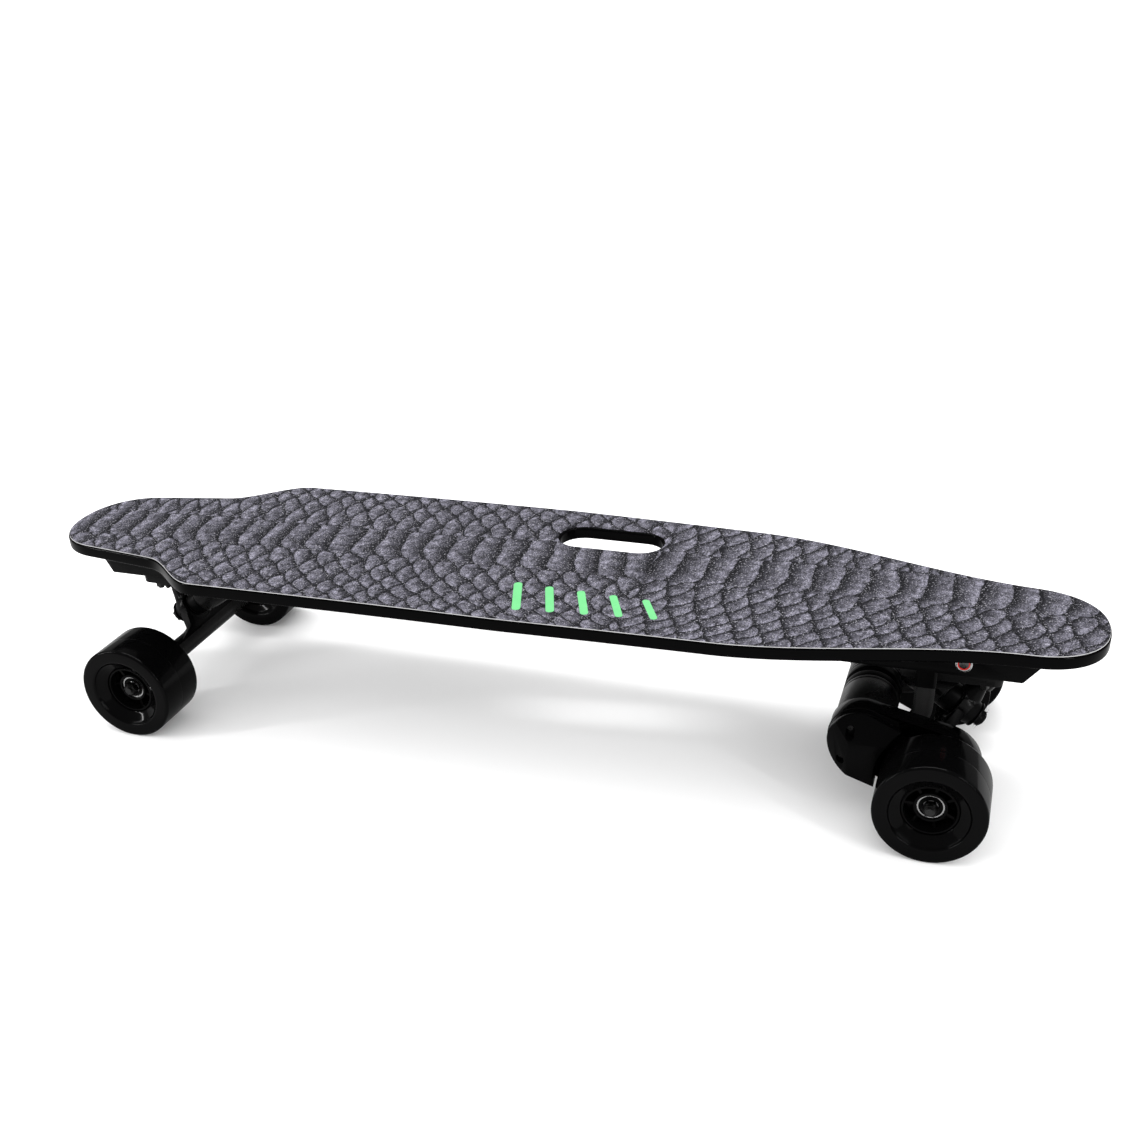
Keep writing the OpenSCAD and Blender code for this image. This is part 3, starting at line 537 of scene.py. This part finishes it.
def soften(node, width):
    """A copy of a CAD node with its hard edges rounded, shown in the node's place."""
    source = frame["nodes"][node]
    mesh = source.data.copy()
    mesh.name = node + "_soft"
    obj = show(node + "_soft", mesh)
    bm = bmesh.new()
    bm.from_mesh(mesh)
    bm.transform(source.matrix_world)
    bmesh.ops.remove_doubles(bm, verts=bm.verts, dist=2 * WELD)
    bmesh.ops.dissolve_limit(bm, angle_limit=math.radians(FLAT_ANGLE), verts=bm.verts, edges=bm.edges)
    bm.to_mesh(mesh)
    bm.free()
    bevel = obj.modifiers.new("round", "BEVEL")
    bevel.width = width * MM
    bevel.segments = 2
    bevel.limit_method = "ANGLE"
    bevel.angle_limit = math.radians(HARD_ANGLE)
    bevel.use_clamp_overlap = False
    bpy.context.view_layer.update()
    done = bpy.data.meshes.new_from_object(obj.evaluated_get(bpy.context.evaluated_depsgraph_get()))
    obj.modifiers.clear()
    obj.data = done
    smooth(obj, 30)
    return settle(obj, MATS[SLOT_OF[node]], BODY_OF[node], node)


def bend_corners(profile, radius, steps=4):
    """Rounds the corners of a closed profile of (radius, height) points."""
    done = []
    count = len(profile)
    for i in range(count):
        here = Vector(profile[i])
        ends = []
        for other in (profile[i - 1], profile[(i + 1) % count]):
            way = Vector(other) - here
            ends.append(here + way.normalized() * min(radius, way.length * 0.45))
        for k in range(steps + 1):
            t = k / steps
            done.append((1 - t) ** 2 * ends[0] + 2 * t * (1 - t) * here + t * t * ends[1])
    return done


def bend_inner_corners(points, radius, steps):
    """The rounded corners of a stretch of profile, without its two end points."""
    ring = steps + 1
    return bend_corners(points, radius, steps)[ring:-ring]


def lathe(name, turned, count=96):
    """One mesh of turned solids, each a (profile, origin, axis) with the profile in mm."""
    bm = bmesh.new()
    for profile, origin, axis in turned:
        turn = Vector(axis).to_track_quat("Z", "Y").to_matrix().to_4x4()
        move = Matrix.Translation(Vector(origin) * MM) @ turn
        rings = []
        for i in range(count):
            c, n = math.cos(2 * math.pi * i / count), math.sin(2 * math.pi * i / count)
            rings.append([bm.verts.new(move @ (Vector((r * c, r * n, h)) * MM)) for r, h in profile])
        for i in range(count):
            a, b = rings[i], rings[(i + 1) % count]
            for j in range(len(profile)):
                k = (j + 1) % len(profile)
                bm.faces.new((a[j], b[j], b[k], a[k]))
    obj = closed_mesh(name, bm)
    smooth(obj, 30)
    return obj


# ---- deck, grip and mark --------------------------------------------------------------------------

deck = plate("deck_board", [deck_loop(0), slot_loop(0)], BOARD_LOW, BOARD_TOP, 1.8)
follow_camber(deck)
smooth(deck)
settle(deck, MATS["deck_lacquer"], "board", "deck")

GRIP_INSET = 1.1
GRIP_LOW, GRIP_TOP = BOARD_TOP + 0.02, BOARD_TOP + 0.72
grip = plate("grip_sheet", [deck_loop(GRIP_INSET), slot_loop(1.6)], GRIP_LOW, GRIP_TOP, 0.25, 1)
follow_camber(grip)
smooth(grip)
settle(grip, MATS["grip"], "board", "grip_tape")

# a pale band round the grip sheet's edge: a painted highlight line
highlight_band = [deck_loop(GRIP_INSET - 0.2), deck_loop(GRIP_INSET + 0.3)]
rim = plate("grip_edge", highlight_band, GRIP_LOW, BOARD_TOP + 0.6, 0.1, 1)
follow_camber(rim)
settle(rim, MATS["grip_edge"], "board")


def stroke_loop(x, y0, y1, wide, lean, count=10):
    """A slanted stroke with round ends."""
    way = Vector((lean, y1 - y0)).normalized()
    heading = math.atan2(way.y, way.x)
    loop = []
    for end, (cx, cy) in enumerate(((x + lean, y1), (x, y0))):
        for i in range(count + 1):
            a = heading + math.pi * (end - 0.5 + i / count)
            loop.append((cx + wide / 2 * math.cos(a), cy + wide / 2 * math.sin(a)))
    return loop


# five plain slanted strokes, each a little smaller, in place of the printed mark
STROKE_X, STROKE_STEP, STROKE_LEAN = 2, -29, -14
for i in range(5):
    stroke = stroke_loop(STROKE_X + STROKE_STEP * i, 50 + i, 93 - 3 * i, 7.4 - 0.3 * i, STROKE_LEAN)
    bar = plate(f"green_stroke_{i}", [stroke], BOARD_TOP + 0.66, BOARD_TOP + 0.78, 0.03, 1)
    follow_camber(bar)
    settle(bar, GREEN, "board")

# ---- wheels and bearings ----------------------------------------------------------------------------


def tyre_profile():
    """The tyre's section: cupped inner face, round-edged tread with a mould groove, dished outer face."""
    w, r, middle = WHEEL_WIDE, WHEEL_R, WHEEL_WIDE / 2
    near, far = (r, 0), (r, w)
    cup = [(22.6, 6), (29, 3.4), (31.5, 0.6), (33, 0)]
    groove = [(r, middle - 0.5), (r - 0.12, middle), (r, middle + 0.5)]
    dish = [(33.2, w), (32.2, w - 0.9), (31.4, w - 2.6), (24, w - 7), (22.6, w - 8.2)]
    rims = bend_inner_corners([cup[-1], near, far, dish[0]], 3.0, 6)
    half = len(rims) // 2
    return (
        bend_inner_corners([far, *cup, near], 0.5, 2)
        + rims[:half]
        + bend_inner_corners([near, *groove, far], 0.5, 2)
        + rims[half:]
        + bend_inner_corners([far, *dish, far], 1.5, 4)
    )


TYRE = tyre_profile()
for truck, end in ENDS:
    for hand, side in HANDS:
        wheel = f"{truck}_{hand}"
        seat = ((end * AXLE_X, side * WHEEL_IN, AXLE_Z), (0, side, 0))
        tyre = lathe(f"{wheel}_wheel_tyre", [(TYRE, *seat)], 160)
        settle(tyre, MATS["wheel_tyre"], f"{wheel}_wheel", f"{wheel}_tyre")
        soften(f"{wheel}_core", 0.4)

BEARING_WIDE = 7
BEARING_SEATS = (WHEEL_IN + 7, WHEEL_IN + 31)


def bearing_ring(inside, outside, radius):
    """Section of a plain ring as wide as the bearing, with rounded corners."""
    corners = [(inside, 0), (outside, 0), (outside, BEARING_WIDE), (inside, BEARING_WIDE)]
    return bend_corners(corners, radius)


RACES = (bearing_ring(9.5, 11, 0.35), bearing_ring(4.02, 6, 0.3))
SEAL_SIDE = [(6.05, 0.5), (7.2, 0.25), (8.6, 0.25), (9.45, 0.6)]
SEAL = bend_corners(SEAL_SIDE + [(r, BEARING_WIDE - h) for r, h in reversed(SEAL_SIDE)], 0.2)
for truck, end in ENDS:
    seats = [((end * AXLE_X, side * y, AXLE_Z), (0, side, 0)) for _, side in HANDS for y in BEARING_SEATS]
    races = lathe(f"{truck}_bearing_races", [(shape, *seat) for seat in seats for shape in RACES])
    settle(races, MATS["bearing_steel"], f"{truck}_truck", f"{truck}_bearings")
    seals = lathe(f"{truck}_bearing_seals", [(SEAL, *seat) for seat in seats])
    settle(seals, MATS["bearing_seal"], f"{truck}_truck")

# ---- trucks, cases and drives -----------------------------------------------------------------------

# width of the rounding in mm, then the nodes that get it
SOFT_EDGES = (
    (1.2, "front_enclosure", "rear_enclosure"),
    (0.8, "wire_conduit"),
    (1.0, "front_riser", "rear_riser"),
    (1.2, "front_baseplate", "rear_baseplate"),
    (1.0, "front_hanger", "rear_hanger"),
    (0.6, "left_drive_shell", "right_drive_shell"),
    (0.45, "left_drive_cap", "right_drive_cap"),
    (0.6, "left_motor_end_cap", "right_motor_end_cap"),
    (0.35, "front_axle_nuts", "rear_axle_nuts"),
    (0.4, "kingpin_nuts", "button_bezel"),
    (0.25, "power_button"),
    (0.3, "bushing_washers"),
)
for width, *nodes in SOFT_EDGES:
    for node in nodes:
        soften(node, width)

# half section of the motor's can: two grooves round a tube that is closed at the drive end
CAN_R, GROOVE_R, CAN_BORE = 24.4, 24.05, 22.45
CAN = [(CAN_BORE, 12.1), (CAN_R, 12.1), (CAN_R, 15.4), (GROOVE_R, 15.6), (GROOVE_R, 16.4), (CAN_R, 16.6)]
CAN += [(CAN_R, 50.6), (GROOVE_R, 50.8), (GROOVE_R, 51.4), (CAN_R, 51.6), (CAN_R, 54.9)]
CAN += [(4.1, 54.9), (4.1, 51.1), (CAN_BORE, 51.1)]
for hand, side in HANDS:
    turned = (bend_corners(CAN, 0.25, 2), (-MOTOR_X, 0, MOTOR_Z), (0, side, 0))
    can = lathe(f"{hand}_motor_can", [turned], 128)
    settle(can, MATS["motor_paint"], "rear_truck", f"{hand}_motor_housing")

# half sections of the steering bushings: a barrel on the board side, a cone on the road side
BARREL = [(5, 0), (12.2, 0), (13, 1.4), (13.15, 4.5), (13.2, 7)]
BARREL += [(13.15, 9.5), (13, 12.5), (12.2, 13.9), (5, 13.9), (5, 7)]
CONE = [(5, 0), (12.8, 0), (12.9, 1.6), (12.1, 4.4), (11.2, 7.2), (10.3, 9.9), (5, 9.9), (5, 5)]
# each bushing's section, then its start, board-held end and moving end, along the kingpin from the ring
BUSHINGS = (("board", BARREL, -19, -17, -6), ("road", CONE, 5.05, 14.5, 6))
# the kingpin is at right angles to the hanger's pivot axis, which leans this far from the vertical
lean = math.radians(PIVOT_LEAN)
for truck, end in ENDS:
    down = Vector((end * math.cos(lean), 0, -math.sin(lean)))
    ring = Vector((end * RING_X, 0, RING_Z))
    for part, shape, first, fixed, moving in BUSHINGS:
        piece = lathe(f"{truck}_{part}_cushion", [(bend_corners(shape, 0.7), ring + down * first, down)])
        start, finish = (ring + down * fixed) * MM, (ring + down * moving) * MM
        bodies = ("board", f"{truck}_truck", start, finish)
        settle(piece, MATS["bushing_rubber"], bodies, f"{truck}_{part}_bushing")


WIRE_PITCH = 5.7
SQUARENESS = 0.6  # below 1 squares off the sleeve's oval section


def ribbon(name, path, half, thick, side, wires, around=40):
    """A flat sleeve along (x, z) points, lobed where its wires press out; half(share) is its half width."""
    bm = bmesh.new()
    rings = []
    for i, (x, z) in enumerate(path):
        ahead, behind = path[min(i + 1, len(path) - 1)], path[max(i - 1, 0)]
        way = Vector((ahead[0] - behind[0], ahead[1] - behind[1])).normalized()
        out = Vector((-way.y, way.x))
        share = i / (len(path) - 1)
        ring = []
        for k in range(around):
            a = 2 * math.pi * k / around
            c, n = math.cos(a), math.sin(a)
            w = half(share) * math.copysign(abs(c) ** SQUARENESS, c)
            lobe = 1 + wires * math.cos(2 * math.pi * w / WIRE_PITCH)
            t = thick * lobe * math.copysign(abs(n) ** SQUARENESS, n)
            ring.append(bm.verts.new(Vector((x + out.x * w, side * (CABLE_Y + t), z + out.y * w)) * MM))
        rings.append(ring)
    for a, b in zip(rings, rings[1:]):
        for k in range(around):
            bm.faces.new((a[k], a[(k + 1) % around], b[(k + 1) % around], b[k]))
    bm.faces.new(rings[0])
    bm.faces.new(rings[-1])
    obj = closed_mesh(name, bm)
    smooth(obj, 40)
    return obj


def curve_points(knots, count):
    """Evenly spread points on a Catmull-Rom curve through the knots."""
    pts = [Vector(k) for k in [knots[0]] + list(knots) + [knots[-1]]]
    out = []
    spans = len(knots) - 1
    for i in range(count + 1):
        f = min(spans - 1e-6, spans * i / count)
        j = int(f)
        t = f - j
        a, b, c, d = pts[j : j + 4]
        square, cube = 2 * a - 5 * b + 4 * c - d, 3 * b - a - 3 * c + d
        out.append(0.5 * (2 * b + (c - a) * t + square * t**2 + cube * t**3))
    return out


# how far the sleeve has gone forward and how high it is, from the case floor down to the motor
DROP = [(0, CABLE_TOP), (0, 104), (0, 88), (0.8, 76), (4.5, 67.5), (12, 61), (19, 58.6), (24.5, 58)]
ROUTE = curve_points([(CABLE_X + ahead, z) for ahead, z in DROP], 60)
WRAP = [(CABLE_X, CABLE_TOP - 0.1 - 1.25 * i) for i in range(18)]


def sleeve_half(share):
    """The sleeve narrows over its lower half."""
    return 8.3 - 1.6 * ease(0.5, 1, share)


for hand, side in HANDS:
    y = CABLE_Y * side
    high, low = Vector((CABLE_X, y, 113)) * MM, Vector((CABLE_X + 14, y, 66)) * MM
    bend = ("board", "rear_truck", high, low)
    cable = ribbon(f"{hand}_motor_sleeve", ROUTE, sleeve_half, 2.55, side, 0.14)
    settle(cable, MATS["cable_sleeve"], bend, "motor_cables")
    wrap = ribbon(f"{hand}_heat_shrink", WRAP, lambda share: 8.75, 2.85, side, 0.06)
    settle(wrap, MATS["heat_shrink"], bend)

# ---- floor, light, camera ---------------------------------------------------------------------------


def floor_paper():
    """White paper that looks darker in reflections, and clear from below, so the underside shows."""
    paper = Shade("floor_paper")
    ray = paper.add("ShaderNodeLightPath").outputs["Is Glossy Ray"]
    white = paper.blend(paper.noise(3), grey(0.92), grey(0.94))
    paper.finish(**{"Base Color": paper.blend(ray, white, grey(0.36)), "Roughness": 0.9})
    paper.finish(**{"Normal": paper.bump(paper.noise(400), 0.05 * MM, 0.3), "Specular IOR Level": 0.1})
    through = paper.add("ShaderNodeMixShader")
    paper.put(through.inputs[0], paper.add("ShaderNodeNewGeometry").outputs["Backfacing"])
    paper.put(through.inputs[1], paper.bsdf.outputs[0])
    paper.put(through.inputs[2], paper.add("ShaderNodeBsdfTransparent").outputs[0])
    end = next(n for n in paper.tree.nodes if n.type == "OUTPUT_MATERIAL")
    paper.put(end.inputs["Surface"], through.outputs[0])
    return paper.mat


FLOOR_REACH = 40.0  # metres each way
sheet = bpy.data.meshes.new("floor")
corners = [(x * FLOOR_REACH, y * FLOOR_REACH, 0) for x, y in ((-1, -1), (1, -1), (1, 1), (-1, 1))]
sheet.from_pydata(corners, [], [(0, 1, 2, 3)])
floor = show("floor", sheet)
dress(floor, floor_paper())

WORLD_LIGHT, WORLD_IN_REFLECTIONS = 1.6, 0.25


def studio_world():
    """Even white light that is dimmer where glossy surfaces mirror it."""
    world = bpy.data.worlds.new("studio")
    bpy.context.scene.world = world
    world.use_nodes = True
    sky = world.node_tree
    back = next(n for n in sky.nodes if n.type == "BACKGROUND")
    ray = sky.nodes.new("ShaderNodeLightPath")
    level = sky.nodes.new("ShaderNodeMapRange")
    sky.links.new(ray.outputs["Is Glossy Ray"], level.inputs["Value"])
    level.inputs["To Min"].default_value = WORLD_LIGHT
    level.inputs["To Max"].default_value = WORLD_IN_REFLECTIONS
    sky.links.new(level.outputs[0], back.inputs["Strength"])
    back.inputs["Color"].default_value = (1.0, 1.0, 1.0, 1)


def softbox(name, place, aim, wide, deep, power):
    """A rectangular light at a place, in metres, turned toward what it lights."""
    light = bpy.data.lights.new(name, "AREA")
    light.shape = "RECTANGLE"
    light.size, light.size_y, light.energy = wide, deep, power
    obj = bpy.data.objects.new(name, light)
    obj.location = place
    obj.rotation_mode = "QUATERNION"
    obj.rotation_quaternion = (Vector(aim) - Vector(place)).to_track_quat("-Z", "Y")
    bpy.context.scene.collection.objects.link(obj)


studio_world()
softbox("top_box", (0.1, -0.7, 2.2), (0, 0, 0.1), 2.4, 0.22, 26)
softbox("left_strip", (1.9, 1.1, 0.9), (0.1, 0, 0.1), 0.035, 1.5, 14)
softbox("right_strip", (-2.1, 1.2, 1.3), (-0.2, 0, 0.1), 0.035, 1.5, 13)

# camera, solved from the photograph: place in metres, angles in degrees, focal length and shift as shares
# of the frame's width; the roll is 0.17 degrees past its solved value, to share out what the deck is off by
CAM_PLACE = (-0.38965, 1.02132, 0.66490)
CAM_YAW, CAM_PITCH, CAM_ROLL = 18.811, 30.140, -2.06
CAM_FOCAL = 1.19095
CAM_SHIFT = (-0.0237, 0.1080)
SENSOR = 36.0


def aim_camera():
    """Adds the camera at its solved place and makes it the scene's camera."""
    yaw, pitch, roll = (math.radians(v) for v in (CAM_YAW, CAM_PITCH, CAM_ROLL))
    ahead = Vector((math.sin(yaw) * math.cos(pitch), -math.cos(yaw) * math.cos(pitch), -math.sin(pitch)))
    flat = Vector((-math.cos(yaw), -math.sin(yaw), 0))
    rise = flat.cross(ahead)
    across = math.cos(roll) * flat + math.sin(roll) * rise
    up = -math.sin(roll) * flat + math.cos(roll) * rise
    data = bpy.data.cameras.new("camera")
    data.sensor_width = SENSOR
    data.lens = CAM_FOCAL * SENSOR
    data.shift_x, data.shift_y = CAM_SHIFT
    data.clip_start, data.clip_end = 0.02, 100
    cam = bpy.data.objects.new("camera", data)
    turn = Matrix((across, up, -ahead)).transposed()
    cam.matrix_world = Matrix.Translation(CAM_PLACE) @ turn.to_4x4()
    bpy.context.scene.collection.objects.link(cam)
    bpy.context.scene.camera = cam


aim_camera()
bpy.context.scene.view_settings.view_transform = "Standard"
